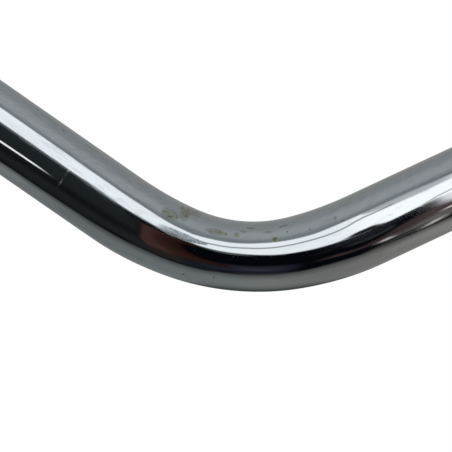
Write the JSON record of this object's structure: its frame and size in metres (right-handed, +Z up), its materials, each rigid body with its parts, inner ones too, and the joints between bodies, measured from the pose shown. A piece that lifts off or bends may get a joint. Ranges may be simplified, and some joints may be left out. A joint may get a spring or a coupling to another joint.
{
  "type": "scooter handlebar",
  "caption": "One-piece chromed steel tube handlebar for a scooter: straight clamp section, two risers and swept-back grip straights with open ends.",
  "frame": {"origin": "middle of the centre section, on the tube's centreline, where the stem clamps the bar", "axes": "+X along the centre section to the rider's right, +Y in the direction of travel, +Z up; the risers lean back and the grips sweep back towards -Y"},
  "size_m": [0.7364, 0.1065, 0.1434],
  "materials": {
    "chromed_tube": "bright chrome plate on steel tube, hazed and lightly pitted with rust in the bends"
  },
  "bodies": {
    "root": {"handlebar_tube": "chromed_tube"}
  },
  "joints": []
}
